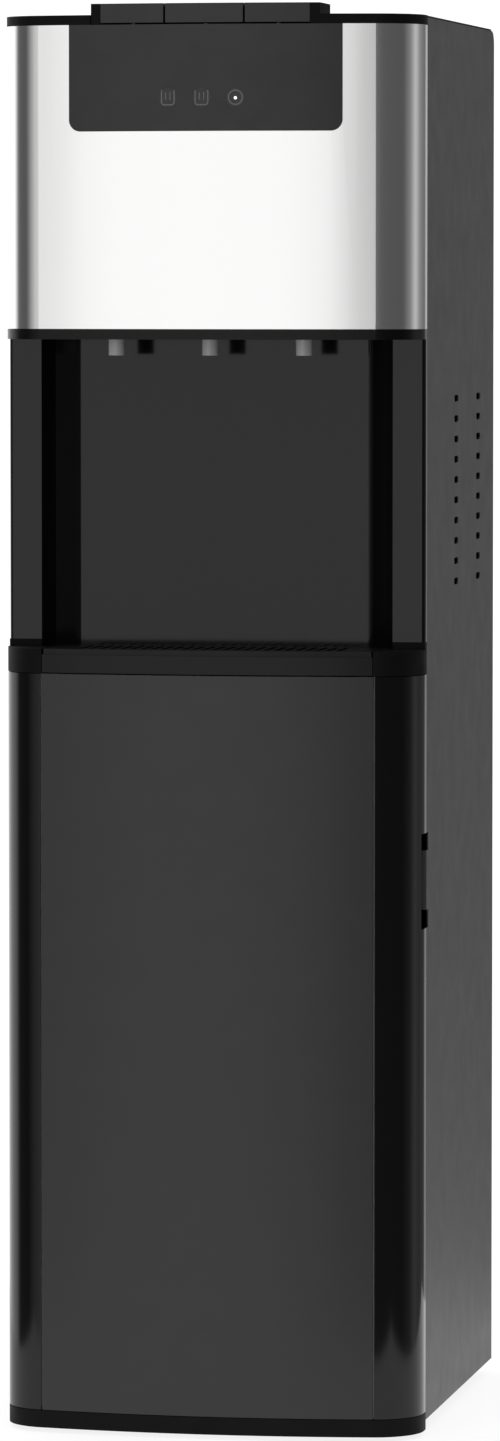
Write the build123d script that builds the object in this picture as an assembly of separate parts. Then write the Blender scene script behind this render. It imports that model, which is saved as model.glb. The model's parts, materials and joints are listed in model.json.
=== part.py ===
from build123d import *
from math import asin, cos, pi, radians, sin, sqrt
import os

# Floor-standing, bottom-loading water dispenser.
# Millimetres. X to the right, -Y to the front, +Z up. The origin is on the floor, below the middle.

# ---------------------------------------------------------------- driving dimensions
# Plan of the cabinet
body_width = 305.0        # over the side panels
body_depth = 360.0        # bowed front to the back of the side panels' screws
bow_rise = 10.0           # how far the front bows out between its two creases
corner_w = 30.0           # each round front corner, across
shell_d = 43.0            # front shells, from the creases to their rear edge
shell_gap = 0.5           # gap between the front shells and the cabinet
plinth_in = 20.0          # plinth's floor in from the panels' lower edges

# Heights, from the floor up
foot_h = 3.5
plinth_h = 12.5
door_gap = 0.5
door_h = 533.0
waist_h = 17.5            # door's upper gap to the drip grille's top
alcove_h = 222.0
trim_h = 7.5
head_h = 216.5
lid_h = 7.0
button_rise = 8.0         # buttons above the lid
panel_lift = 7.0          # side panels start this far above the plinth's underside
lid_proud = 1.5           # lid above the side panels

# Thicknesses and fits
sheet_t = 1.0             # painted steel panels
flange_w = 14.0
steel_t = 1.2             # stainless front
wall_t = 2.5              # moulded parts
slide_gap = 0.5           # around a part that slides
seat_gap = 0.3            # between close parts
run_gap = 0.05            # radial, a pin in its bore

# Alcove
pillar_w = 23.8
pillar_d = 6.0
facet_out = (7.0, 16.0)   # outer facet of each flared wall, across and back
facet_in = (14.1, 13.0)   # inner facet
shoulder_h = 5.3          # under the pillars
back_corner_r = 8.0

# Door
trim_t = 3.0
pin_r = 2.5
pin_reach = 10.0          # into the door
pivot_in = 9.5            # hinge axis in from the side
pivot_fwd = 11.0          # hinge axis in front of the door's rear face
grip_z = 384.8            # middle of the finger grip above the door's underside
grip_h = 68.6
grip_y = 16.0             # in front of the door's rear face
grip_deep = 11.0          # in from the side
lobe_h = 13.0             # at each end the grip runs on into the side panel's edge
lobe_deep = 8.0
grille_gap = 1.0          # drip grille to the frame round it

# Controls
bezel_w = 198.0
bezel_h = 75.5
bezel_t = 2.5
bezel_r = 8.0
bar_w = 166.0             # button bar over its cheeks
bar_d = 45.0
cheek_t = 7.0
mid_button_w = 56.2
button_gap = 1.5
button_t = 3.5
button_drop = 1.3         # gap under the buttons' fronts, which lets them travel
lens_pitch = 24.5
lens_r = 7.0
lens_z = 23.5             # above the bezel's lower edge
nozzle_pitch = 68.3
nozzle_r = 6.0
nozzle_drop = 11.5        # nozzles show this far below the trim
nozzle_back = 25.0        # behind the bowed front

# Drip tray
tray_w = 241.0
tray_lip_t = 3.0
grille_h = 4.0
slot_w = 4.0
slot_pitch = 7.5

# Inside
rear_recess = 28.5        # rear panel in from the side panels' rear edge
bottle_r = 135.0
shelf_t = 1.2
cold_r = 65.0
cold_h = 135.0
foam_t = 14.0
coil_r = 3.5
hot_r = 45.0
hot_h = 145.0
comp_r = 66.0
comp_h = 150.0
hose_r = 5.0
hose_t = 1.5
probe_r = 24.0

# ---------------------------------------------------------------- worked out from them
half_w = body_width / 2
front_y = -body_depth / 2
crease_x = half_w - corner_w
crease_y = front_y + bow_rise
bow_r = (crease_x ** 2 + bow_rise ** 2) / (2 * bow_rise)
crease_turn = asin(crease_x / bow_r)
corner_r = corner_w / (1 - sin(crease_turn))
side_y = crease_y + corner_r * cos(crease_turn)
shell_y = crease_y + shell_d
cab_y = shell_y + shell_gap
panel_rear_y = body_depth / 2 - 1.5
inner_x = half_w - sheet_t
fit_x = inner_x - 0.2
back_y = panel_rear_y - rear_recess

plinth_top = foot_h + plinth_h
door_z0 = plinth_top + door_gap
door_z1 = door_z0 + door_h
grip_z0 = door_z0 + grip_z - grip_h / 2
grip_z1 = grip_z0 + grip_h
waist_z0 = door_z1 + door_gap
grille_z1 = waist_z0 + waist_h
tray_z1 = grille_z1 - grille_h
alcove_z1 = grille_z1 + alcove_h
head_z0 = alcove_z1 + trim_h
lid_z0 = head_z0 + head_h
lid_z1 = lid_z0 + lid_h
bar_z1 = lid_z1 + button_rise
panel_z0 = foot_h + panel_lift
panel_z1 = lid_z1 - lid_proud
deck_z0 = waist_z0 + 2.0
deck_z1 = deck_z0 + shelf_t
shelf_z0 = alcove_z1 + 5.5
shelf_z1 = shelf_z0 + shelf_t

pillar_x = half_w - pillar_w
pillar_y = shell_y - pillar_d
facet_x = pillar_x - facet_out[0]
facet_y = pillar_y + facet_out[1]
alcove_x = facet_x - facet_in[0]
alcove_y = facet_y + facet_in[1]
pivot = (-half_w + pivot_in, shell_y - pivot_fwd)
nozzle_y = front_y + nozzle_back
nozzle_xs = [-nozzle_pitch, 0.0, nozzle_pitch]
bar_y1 = front_y + 2.0 + bar_d
foam_r = cold_r + foam_t + 10.0
cold_x = -fit_x + foam_r + 8.0
cold_y = back_y - foam_r - 35.0
cold_z1 = shelf_z1 + foam_t + cold_h + 15.0
hot_x = fit_x - hot_r - 18.0
hot_y = cold_y + 5.0
hot_z0 = shelf_z1 + 14.0
hot_z1 = hot_z0 + hot_h
comp_x = -fit_x + comp_r + 30.0
comp_y = back_y - comp_r - 24.0
comp_z0 = deck_z1 + 14.0
comp_z1 = comp_z0 + comp_h
probe_x = fit_x - probe_r - 9.0
probe_y = back_y - probe_r - 2.0
riser = (fit_x - 49.0, back_y - 22.0)
suction = (cold_x + 18.0, back_y - 18.0)
capillary = (cold_x + 68.0, back_y - 15.0)
pump_x = probe_x - 8.0


# ---------------------------------------------------------------- helpers
def block(x0, x1, y0, y1, z0, z1):
    """A box between two corners."""
    return Pos((x0 + x1) / 2, (y0 + y1) / 2, (z0 + z1) / 2) * Box(x1 - x0, y1 - y0, z1 - z0)


def rod_z(x, y, z0, z1, r):
    return Pos(x, y, (z0 + z1) / 2) * Cylinder(r, z1 - z0)


def rod_y(x, z, y0, y1, r):
    return Pos(x, (y0 + y1) / 2, z) * Rot(90, 0, 0) * Cylinder(r, y1 - y0)


def rod_x(y, z, x0, x1, r):
    return Pos((x0 + x1) / 2, y, z) * Rot(0, 90, 0) * Cylinder(r, x1 - x0)


def prism(face, z0, z1):
    """A flat plan raised between two heights."""
    return extrude(Pos(0, 0, z0) * face, amount=z1 - z0, dir=(0, 0, 1))


def tube(points, radius, bends):
    """A round tube along straight runs joined by tangent arcs."""
    path = FilletPolyline(*points, radius=bends) if len(points) > 2 else Line(*points)
    return sweep(Plane(path @ 0, z_dir=path % 0) * Circle(radius), path=path)


def front_plan(inset=0.0, rear=shell_y):
    """Plan of the front: a bow that runs on into a round corner at each end.

    Every edge moves inwards by the inset, and a straight line at rear closes the plan."""
    centre = Vector(half_w - corner_r, side_y)

    def on_corner(turn):
        return centre + Vector(sin(turn), -cos(turn)) * (corner_r - inset)

    def left(point):
        return Vector(-point.X, point.Y)

    crease = on_corner(crease_turn)
    middle_of_round = on_corner((crease_turn + pi / 2) / 2)
    side = on_corner(pi / 2)
    corner = Vector(half_w - inset, rear)
    return make_face(Wire([
        ThreePointArc(left(crease), (0, front_y + inset), crease).edge(),
        ThreePointArc(crease, middle_of_round, side).edge(),
        Line(side, corner).edge(),
        Line(corner, left(corner)).edge(),
        Line(left(corner), left(side)).edge(),
        ThreePointArc(left(side), left(middle_of_round), left(crease)).edge(),
    ]))


def shell(thickness, z0, z1, inset=0.0):
    """The bowed front as a wall of one thickness, open at the rear."""
    inside = front_plan(inset + thickness, shell_y + 50)
    return prism(front_plan(inset), z0, z1) - prism(inside, z0 - 1, z1 + 1)


def alcove_plan(clear=0.0, front=front_y - 20):
    """The open space between the pillars, the flared walls and the back wall."""
    right = [(pillar_x - clear, front), (pillar_x - clear, pillar_y), (facet_x - clear, facet_y),
             (alcove_x - clear, alcove_y - clear)]
    left = [(-x, y) for x, y in reversed(right)]
    return make_face(Polyline(*right, *left, close=True))


def door_corner():
    """What is taken off the door's rear left edge so that it turns past the cabinet."""
    x, y = pivot
    corner = block(-half_w - 5, x, y, shell_y + 5, door_z0 - 1, door_z1 + 1)
    return corner - rod_z(x, y, door_z0 - 2, door_z1 + 2, pivot_fwd)


# ---------------------------------------------------------------- base and cabinet
def base_plinth():
    """Moulded base: the skirt under the door, a floor that the panels stand on, and a stop for the bottle."""
    skirt = prism(front_plan(0, cab_y), foot_h, plinth_top)
    floor_x = half_w - plinth_in
    floor = block(-floor_x, floor_x, shell_y, panel_rear_y - plinth_in, foot_h, panel_z0)
    ledge_x = half_w - 8
    floor += block(-ledge_x, ledge_x, cab_y, panel_rear_y - 8, panel_z0 - 3, panel_z0)
    hollow = prism(front_plan(wall_t, shell_y - 4), foot_h - 1, plinth_top - wall_t)
    bay_y = back_y - bottle_r - 3.0
    stop_z1 = panel_z0 + 9
    stop = rod_z(0, bay_y, panel_z0, stop_z1, bottle_r + 4.5)
    stop -= rod_z(0, bay_y, panel_z0 - 1, stop_z1 + 1, bottle_r + 1.5)
    stop -= block(-half_w, half_w, -body_depth, bay_y + 20, panel_z0 - 1, stop_z1 + 1)
    stop_x = half_w - flange_w - 2 * sheet_t
    stop &= block(-stop_x, stop_x, cab_y, back_y - 0.5, panel_z0, stop_z1)
    hole = rod_z(*pivot, foot_h, plinth_top + 1, pin_r)
    return [skirt + floor + stop - hollow - hole]


def feet():
    """Four rubber feet, each a disc with a raised pad."""
    foot_x = half_w - plinth_in - 15
    places = [(sx * foot_x, y) for sx in (-1, 1) for y in (cab_y + 16, panel_rear_y - plinth_in - 15)]
    return [rod_z(x, y, 1, foot_h, 15) + rod_z(x, y, 0, 1, 12) for x, y in places]


vent_ys = (4.5, 106.0)
vent_rows = 10
vent_pitch = 14.9
vent_w = 18.0
vent_r = 2.5
vent_top_z = alcove_z1 - 44.2


def vent_slots(x0, x1):
    """Two columns of round-ended cooling slots beside the compressor."""
    slots = []
    for y in vent_ys:
        for row in range(vent_rows):
            z = vent_top_z - row * vent_pitch
            y0, y1 = y - vent_w / 2 + vent_r, y + vent_w / 2 - vent_r
            slot = block(x0, x1, y0, y1, z - vent_r, z + vent_r)
            slots.append(slot + rod_x(y0, z, x0, x1, vent_r) + rod_x(y1, z, x0, x1, vent_r))
    return slots


def side_panel(side):
    """Painted steel side, turned in at the front, rear and lower edges and rounded at the top of the rear.

    The right one has two notches beside the door's finger grip."""
    outline = block(0, flange_w + sheet_t, cab_y, panel_rear_y, panel_z0, panel_z1)
    rear_top = outline.edges().filter_by(Axis.X).sort_by(Axis.Y)[-2:].sort_by(Axis.Z)[-1]
    outline = fillet(rear_top, 10.0)
    past_flange = flange_w + 2 * sheet_t
    inside = block(sheet_t, past_flange, cab_y + sheet_t, panel_rear_y - sheet_t,
                   panel_z0 + sheet_t, panel_z1 + 1)
    top_notch = block(sheet_t, past_flange, cab_y - 1, panel_rear_y + 1, lid_z0 - 2, panel_z1 + 1)
    panel = outline - inside - top_notch
    for slot in vent_slots(-1, sheet_t + 1):
        panel -= slot
    if side > 0:
        for z in (grip_z0, grip_z1 - lobe_h):
            panel -= block(-1, grip_deep, cab_y - 1, cab_y + lobe_deep, z, z + lobe_h)
    panel = Pos(-half_w, 0, 0) * panel
    return [panel if side < 0 else mirror(panel, Plane.YZ)]


def rear_openings():
    """Where things pass through the rear panel: two switches, the drain, the cord gland and two pipes."""
    cuts = []
    for x in switch_xs:
        cuts.append(block(x - 10.2, x + 10.2, back_y - 5, back_y + 5, switch_z - 14.2, switch_z + 14.2))
    cuts.append(rod_y(hot_x, drain_z, back_y - 5, back_y + 5, 8.0))
    cuts.append(rod_y(gland_x, drain_z, back_y - 5, back_y + 5, 8.0))
    cuts.append(rod_y(comp_x - 35, comp_z1 + 19, back_y - 5, back_y + 5, 5.0))
    cuts.append(rod_y(drier[0], drier[2] - 12, back_y - 5, back_y + 5, 5.0))
    return cuts


def rear_screw_places():
    """Screws along both turned-in rear edges."""
    x = half_w - sheet_t - flange_w / 2
    return [(sx * x, z) for sx in (-1, 1) for z in (40.0, 280.0, 520.0, 760.0, 985.0)]


def rear_panel():
    """Recessed rear panel: a shallow pan whose lips sit inside the side panels' rear edges."""
    lip_y = panel_rear_y - sheet_t
    bottom = panel_z0 + sheet_t
    top = lid_z0 - 4
    pan = block(-fit_x, fit_x, back_y, lip_y, bottom, top)
    wall_x = fit_x - sheet_t
    lip_x = fit_x - flange_w + 1
    pan -= block(-wall_x, wall_x, back_y + sheet_t, lip_y - sheet_t, bottom - 1, top + 1)
    pan -= block(-lip_x, lip_x, back_y + sheet_t, lip_y + 1, bottom - 1, top + 1)
    for cut in rear_openings():
        pan -= cut
    for x, z in rear_screw_places():
        pan -= rod_y(x, z, lip_y - 3, lip_y + 1, 1.7)
    return [pan]


def mid_deck():
    """Steel deck over the bottle bay, with a turned-down front edge, under the compressor and the pump."""
    deck_y = cab_y + 30
    deck = block(-fit_x, fit_x, deck_y, back_y - 0.2, deck_z0, deck_z1)
    deck += block(-fit_x, fit_x, deck_y, deck_y + shelf_t, deck_z0 - flange_w, deck_z0)
    return [deck - rod_z(probe_x, probe_y, deck_z0 - 1, deck_z1 + 1, hose_r + 0.5)]


def tank_shelf():
    """Steel shelf behind the alcove's top. It carries both tanks."""
    shelf = block(-fit_x, fit_x, alcove_y + wall_t + 1, back_y - 0.2, shelf_z0, shelf_z1)
    for x, y in (riser, suction, capillary, (hot_x, hot_y)):
        shelf -= rod_z(x, y, shelf_z0 - 1, shelf_z1 + 1, hose_r + 2)
    return [shelf]


def top_cover():
    """Lid: a shallow moulded cap, notched at the front for the button bar and rounded at the rear."""
    plan = front_plan(0, cab_y)
    plan += Pos(0, (cab_y + panel_rear_y) / 2) * Rectangle(2 * fit_x, panel_rear_y - cab_y)
    lid = prism(plan, lid_z0, lid_z1)
    hollow = prism(front_plan(wall_t, cab_y - 3), lid_z0 - 1, lid_z1 - wall_t)
    hollow_x = fit_x - wall_t
    hollow += block(-hollow_x, hollow_x, cab_y - 4, panel_rear_y - 12, lid_z0 - 1, lid_z1 - wall_t)
    notch_x = bar_w / 2 + seat_gap
    notch_y = bar_y1 + seat_gap
    hollow -= block(-notch_x - wall_t, notch_x + wall_t, front_y - 1, notch_y + wall_t, lid_z0 - 1, lid_z1)
    lid = lid - hollow - block(-notch_x, notch_x, front_y - 1, notch_y, lid_z0 - 1, lid_z1 + 1)
    rounding = block(-half_w, half_w, panel_rear_y - 10, panel_rear_y + 1, lid_z1 - 10, lid_z1 + 1)
    rounding -= rod_x(panel_rear_y - 10, lid_z1 - 10, -half_w - 1, half_w + 1, 10)
    return [lid - rounding]


# ---------------------------------------------------------------- head
def bezel_outline(clear=0.0):
    """The bezel's face seen from the front, with round lower corners, swept through the bowed wall."""
    outline = RectangleRounded(bezel_w + 2 * clear, 2 * bezel_h + 2 * clear, bezel_r + clear)
    face = Pos(0, front_y - 5, lid_z0) * Rot(90, 0, 0) * outline
    return extrude(face, amount=60, dir=(0, 1, 0)) & block(-half_w, half_w, -body_depth, 0, 0, lid_z0)


def upper_front_panel():
    """Brushed stainless front, wrapped round both corners, cut out for the bezel."""
    return [shell(steel_t, head_z0, lid_z0) - bezel_outline(seat_gap)]


def lens_places():
    first = -lens_pitch - 1.5
    return [(first + i * lens_pitch, lid_z0 - bezel_h + lens_z) for i in range(3)]


def control_bezel():
    bezel = shell(bezel_t, head_z0, lid_z0) & bezel_outline()
    for x, z in lens_places():
        bezel -= rod_y(x, z, front_y - 5, front_y + 10, lens_r)
    return [bezel]


def indicator_lenses():
    """Three clear lenses, flush with the bezel."""
    wall = shell(bezel_t - 0.5, head_z0, lid_z0)
    return [wall & rod_y(x, z, front_y - 5, front_y + 10, lens_r - 0.1) for x, z in lens_places()]


def control_board():
    """Circuit board behind the bezel, with a lamp behind each lens and a connector."""
    y = front_y + 9.0
    z = lid_z0 - bezel_h + lens_z
    board = block(-48, 48, y, y + 1.6, z - 16, z + 20)
    for x, lamp_z in lens_places():
        board += rod_y(x, lamp_z, y - 4, y, 2.5)
    return [board + block(-12, 12, y + 1.6, y + 7, z + 8, z + 16)]


def head_trim():
    """Black lower edge of the head with the alcove's ceiling, which the nozzles pass through."""
    plan = front_plan() + Pos(0, (shell_y + alcove_y) / 2) * Rectangle(2 * pillar_x, alcove_y - shell_y)
    ceiling = prism(plan, alcove_z1, alcove_z1 + wall_t)
    for x in nozzle_xs:
        ceiling -= rod_z(x, nozzle_y, alcove_z1 - 1, head_z0, nozzle_r)
    return [ceiling + shell(trim_t, alcove_z1, head_z0)]


def dispensing_nozzles():
    """Three spouts with a flange above the ceiling."""
    spouts = []
    top = alcove_z1 + wall_t
    for x in nozzle_xs:
        spout = rod_z(x, nozzle_y, alcove_z1 - nozzle_drop, top + 12, nozzle_r)
        spout += rod_z(x, nozzle_y, top, top + 2, nozzle_r + 4)
        spouts.append(spout - rod_z(x, nozzle_y, 0, lid_z1, nozzle_r - 1.8))
    return spouts


def solenoid_valves():
    """One valve on top of each spout."""
    z0 = alcove_z1 + wall_t + 12
    valves = []
    for x in nozzle_xs:
        valve = block(x - 13, x + 13, nozzle_y - 12, nozzle_y + 14, z0, z0 + 24)
        valve += rod_z(x, nozzle_y, z0 + 24, z0 + 44, 9)
        valves.append(valve + rod_y(x, z0 + 12, nozzle_y + 14, nozzle_y + 24, 4))
    return valves


# ---------------------------------------------------------------- buttons
hinge_y = bar_y1 - 6.0
hinge_z = lid_z0 + 3.0
bar_z0 = lid_z0 - 10.0
hinge_rod_r = 1.25
spring_y = front_y + 12.0
switch_y = spring_y + 11.0
button_top_z = bar_z1 - button_t
rib_z = bar_z1 - 10.0     # underside of the rib that works the microswitch
boss_w = 6.0
button_spans = {
    "cold": (-bar_w / 2 + cheek_t + 0.2, -mid_button_w / 2 - button_gap),
    "room": (-mid_button_w / 2, mid_button_w / 2),
    "hot": (mid_button_w / 2 + button_gap, bar_w / 2 - cheek_t - 0.2),
}


def middle(name):
    return sum(button_spans[name]) / 2


def hinge_rod(grow=0.0):
    """The rod that the three buttons turn on."""
    reach = bar_w / 2 - 2
    return rod_x(hinge_y, hinge_z, -reach, reach, hinge_rod_r + grow)


def button_housing():
    """Tray under the buttons, with an end cheek on each side that the hinge rod sits in."""
    bar = Pos(0, front_y + bar_d / 2 + 2) * Rectangle(bar_w, bar_d)
    cheek_x = bar_w / 2 - cheek_t
    plan = front_plan(bezel_t + 1) & bar
    inside = front_plan(bezel_t + 3) & Pos(0, front_y + bar_d / 2) * Rectangle(2 * cheek_x, bar_d - 2)
    tray = prism(plan, bar_z0, lid_z0 - 0.5) - prism(inside, bar_z0 + 2, bar_z1)
    upper = prism(front_plan(1.0) & bar, lid_z0 + 0.3, bar_z1) + prism(plan, lid_z0 - 0.5, lid_z0 + 0.3)
    upper -= block(-cheek_x, cheek_x, front_y - 5, bar_y1 - 2, lid_z0 - 1, bar_z1 + 1)
    return [tray + upper - hinge_rod()]


def button(name):
    """A press button: a cap open underneath, with bosses on the hinge rod and a rib over its switch."""
    x0, x1 = button_spans[name]
    wall = 2.0
    x = middle(name)
    cap_plan = front_plan(1.0) & Pos(x, front_y + bar_d / 2 - 1.2) * Rectangle(x1 - x0, bar_d)
    cap = prism(cap_plan, lid_z0 + button_drop, bar_z1)
    inside = Pos(x, front_y + bar_d / 2 + 5) * Rectangle(x1 - x0 - 2 * wall, bar_d + 20)
    cap -= prism(front_plan(1.0 + wall) & inside, lid_z0 - 1, button_top_z)
    cap -= block(x0 - 1, x1 + 1, hinge_y + 4.5, bar_y1 + 5, lid_z0 - 1, bar_z1 - 1.0)
    cap -= block(x0 - 1, x1 + 1, bar_y1 - 2.6, bar_y1 + 5, lid_z0 - 1, bar_z1 + 1)
    for boss_x0 in (x0, x1 - boss_w):
        boss_x1 = boss_x0 + boss_w
        cap += rod_x(hinge_y, hinge_z, boss_x0, boss_x1, 3.2)
        cap += block(boss_x0, boss_x1, hinge_y - 2, hinge_y + 2, hinge_z, button_top_z)
    cap += block(x - 2, x + 2, switch_y - 2, switch_y + 2, rib_z, button_top_z)
    if name == "hot":
        cap -= lock_slot()
    return [cap - hinge_rod(run_gap)]


lock_w = 14.0             # slider in the hot button
lock_d = 11.0
lock_h = 1.8
lock_travel = 8.0
lock_y = front_y + 14.0


def lock_slot():
    x = middle("hot")
    gap = 0.2
    slot_x = lock_w / 2 + gap
    slot_y1 = lock_y + lock_d + lock_travel + gap
    return block(x - slot_x, x + slot_x, lock_y - gap, slot_y1, bar_z1 - lock_h - gap / 2, bar_z1 + 1)


def child_lock_slider():
    """Flush slider in the hot button's top, pushed back to free the button."""
    x = middle("hot")
    plate = block(x - lock_w / 2, x + lock_w / 2, lock_y, lock_y + lock_d, bar_z1 - lock_h, bar_z1)
    groove_x = lock_w / 2 - 2
    for i in range(3):
        groove_y = lock_y + 3 + 2.5 * i
        plate -= block(x - groove_x, x + groove_x, groove_y - 0.5, groove_y + 0.5, bar_z1 - 0.5, bar_z1 + 1)
    return [plate]


def button_spring(name):
    """Sleeve that a return spring fills, between the housing's floor and the button."""
    x = middle(name)
    return [rod_z(x, spring_y, bar_z0 + 2, button_top_z, 4.0) - rod_z(x, spring_y, bar_z0, bar_z1, 3.0)]


switch_top_z = bar_z0 + 11.0
plunger_r = 1.5


def button_switches():
    """A microswitch under each button, bored for its plunger."""
    switches = []
    for name in button_spans:
        x = middle(name)
        body = block(x - 10, x + 10, switch_y - 4, switch_y + 4, bar_z0 + 2, switch_top_z)
        bore = rod_z(x, switch_y, switch_top_z - 4, switch_top_z + 1, plunger_r + run_gap)
        switches.append(body - bore)
    return switches


def switch_plunger(name):
    """Plunger of one microswitch, just under the button's rib."""
    return [rod_z(middle(name), switch_y, switch_top_z - 2.5, rib_z - 0.05, plunger_r)]


# ---------------------------------------------------------------- alcove and waist
def alcove_liner():
    """Glossy moulding: back wall, flared side walls in two facets, and the pillars beside them."""
    right = [(half_w, shell_y), (half_w, pillar_y), (pillar_x, pillar_y),
             (facet_x, facet_y), (alcove_x, alcove_y)]
    hidden = [(alcove_x + 1.2, alcove_y + wall_t), (facet_x + 2.2, facet_y + 1.2),
              (pillar_x + wall_t, shell_y)]
    right_back = list(reversed(hidden))
    outline = [*right, *[(-x, y) for x, y in reversed(right)], *[(-x, y) for x, y in right_back], *hidden]
    plan = make_face(Polyline(*outline, close=True))
    outer = [v for v in plan.vertices() if abs(abs(v.X) - half_w) < 0.01 and abs(v.Y - pillar_y) < 0.01]
    plan = fillet(outer, 3.0)
    back = [v for v in plan.vertices() if abs(abs(v.X) - alcove_x) < 0.01 and abs(v.Y - alcove_y) < 0.01]
    plan = fillet(back, back_corner_r)
    liner = prism(plan, grille_z1, alcove_z1)
    for sx in (-1, 1):
        x0, x1 = sorted((sx * pillar_x, sx * (half_w + 1)))
        liner -= block(x0, x1, pillar_y - 1, shell_y + 0.01, grille_z1 - 1, grille_z1 + shoulder_h)
    return [liner]


def tray_plan(clear):
    """Plan of the drip tray and its grille: bowed in front, with its rear corners cut off."""
    side_x = tray_w / 2 - clear
    rear_x = alcove_x - 1.0 - clear
    right = [(side_x, front_y - 20), (side_x, shell_y), (rear_x, alcove_y - 1.0 - clear)]
    left = [(-x, y) for x, y in reversed(right)]
    return front_plan(clear, shell_y + 60) & make_face(Polyline(*right, *left, close=True))


def waist_frame():
    """Black frame between door and alcove: corners, the tray's floor, and a shoulder under each pillar."""
    rear_y = alcove_y + wall_t
    plan = front_plan() + Pos(0, (shell_y + rear_y) / 2) * Rectangle(2 * pillar_x + 6, rear_y - shell_y)
    frame = prism(plan, waist_z0, grille_z1)
    frame -= prism(tray_plan(-slide_gap), waist_z0 + 2, grille_z1 + 1)
    lip = front_plan(-5) - front_plan(tray_lip_t + slide_gap, shell_y + 60)
    lip &= Pos(0, front_y) * Rectangle(tray_w + 2 * slide_gap, 60)
    frame -= prism(lip, waist_z0 - 1, grille_z1 + 1)
    for sx in (-1, 1):
        x0, x1 = sorted((sx * pillar_x, sx * half_w))
        frame += block(x0, x1, pillar_y, shell_y, grille_z1, grille_z1 + shoulder_h)
    return [frame - rod_z(*pivot, waist_z0 - 1, waist_z0 + 8, pin_r)]


def drip_tray():
    """Shallow tray whose glossy bowed front hides the frame's floor."""
    tray_z0 = waist_z0 + 2 + seat_gap
    tray = prism(tray_plan(0), tray_z0, tray_z1)
    tray -= prism(tray_plan(tray_lip_t), tray_z0 + 2, tray_z1 + 1)
    lip = tray_plan(0) - front_plan(tray_lip_t, shell_y + 60)
    return [tray + prism(lip, waist_z0 + slide_gap, tray_z0)]


def drip_grille():
    """Slotted plate lying on the tray's rim."""
    grille = prism(tray_plan(grille_gap), tray_z1, grille_z1)
    count = int((2 * alcove_x - 20) / slot_pitch)
    for i in range(count):
        x0 = (i - (count - 1) / 2) * slot_pitch - slot_w / 2
        grille -= block(x0, x0 + slot_w, crease_y + 8, alcove_y - 9, tray_z1 - 1, grille_z1 + 1)
    return [grille]


# ---------------------------------------------------------------- door
panel_edge_x = crease_x - 1.5


def grip_pocket(grow=0.0):
    """Finger grip in the door's right edge."""
    x0 = half_w - grip_deep - grow
    y0 = shell_y - grip_y - grow
    return block(x0, half_w + 1, y0, shell_y + 0.1, grip_z0 - grow, grip_z1 + grow)


def door_panel():
    """Satin black front sheet between the two corner trims."""
    band = Pos(0, front_y) * Rectangle(2 * panel_edge_x, 60)
    return [prism((front_plan() - front_plan(steel_t, shell_y + 50)) & band, door_z0, door_z1)]


def door_corner_trims():
    """Glossy corner mouldings, left and right."""
    ring = shell(trim_t, door_z0, door_z1) - door_corner() - grip_pocket()
    trims = []
    for sx in (-1, 1):
        x0, x1 = sorted((sx * (panel_edge_x + 1.2), sx * (half_w + 1)))
        trims.append(ring & block(x0, x1, front_y - 1, shell_y + 1, door_z0, door_z1))
    return trims


def door_liner():
    """Moulded inner door: rear wall, edges, and a boss round each hinge pin."""
    inset = trim_t + 0.1
    liner = prism(front_plan(inset), door_z0, door_z1)
    inner = front_plan(inset + wall_t, shell_y - wall_t)
    inner += Pos(0, crease_y) * Rectangle(2 * panel_edge_x - 8, 30)
    liner -= prism(inner, door_z0 + wall_t, door_z1 - wall_t)
    x, y = pivot
    for z0, z1 in ((door_z0, door_z0 + pin_reach + 3), (door_z1 - pin_reach - 3, door_z1)):
        liner += rod_z(x, y, z0, z1, pivot_in - trim_t - 0.2)
    for z0, z1 in ((door_z0 - 1, door_z0 + pin_reach + 0.5), (door_z1 - pin_reach - 0.5, door_z1 + 1)):
        liner -= rod_z(x, y, z0, z1, pin_r + run_gap)
    for magnet in door_magnets():
        liner -= magnet
    return [liner - door_corner() - grip_pocket(2.2)]


def door_grip():
    """Moulded cup that lines the finger grip."""
    limit = prism(front_plan(trim_t + 0.1), grip_z0 - 5, grip_z1 + 5)
    return [(grip_pocket(2.0) & limit) - grip_pocket()]


def door_magnets():
    """Two magnet bars in the door's rear wall, facing the right panel's turned-in edge."""
    x = half_w - sheet_t - flange_w / 2
    return [block(x - 4, x + 4, shell_y - 1.5, shell_y, z, z + 40) for z in (door_z0 + 45, door_z1 - 85)]


def hinge_pins():
    """The door's lower and upper pins, and the rod that the three buttons turn on."""
    lower = rod_z(*pivot, plinth_top - 7, door_z0 + pin_reach, pin_r)
    upper = rod_z(*pivot, door_z1 - pin_reach, waist_z0 + 8, pin_r)
    return [lower, upper, hinge_rod()]


# ---------------------------------------------------------------- bottle probe, pump and water path
probe_z1 = deck_z0 - 45.0
probe_hang_z = probe_z1 - 25.0


def bottle_probe():
    """Dip tube with the cap that closes on a bottle's neck, hung in the bay's rear corner."""
    foot_z0 = panel_z0 + 32
    foot_z1 = foot_z0 + 10
    cap = rod_z(probe_x, probe_y, probe_hang_z, probe_z1, probe_r)
    cap -= rod_z(probe_x, probe_y, probe_hang_z - 1, probe_z1 - 4, probe_r - 3)
    stem = rod_z(probe_x, probe_y, foot_z1, probe_z1 - 2, hose_r)
    stem += rod_z(probe_x, probe_y, foot_z0, foot_z1, hose_r + 3)
    return [cap + stem - rod_z(probe_x, probe_y, 0, probe_z1 + 1, hose_r - hose_t)]


def probe_hose():
    """Soft hose from the probe's cap to the deck."""
    z0, z1 = probe_z1, deck_z1
    bore = rod_z(probe_x, probe_y, z0 - 1, z1 + 1, hose_r - hose_t)
    return [rod_z(probe_x, probe_y, z0, z1, hose_r) - bore]


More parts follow.
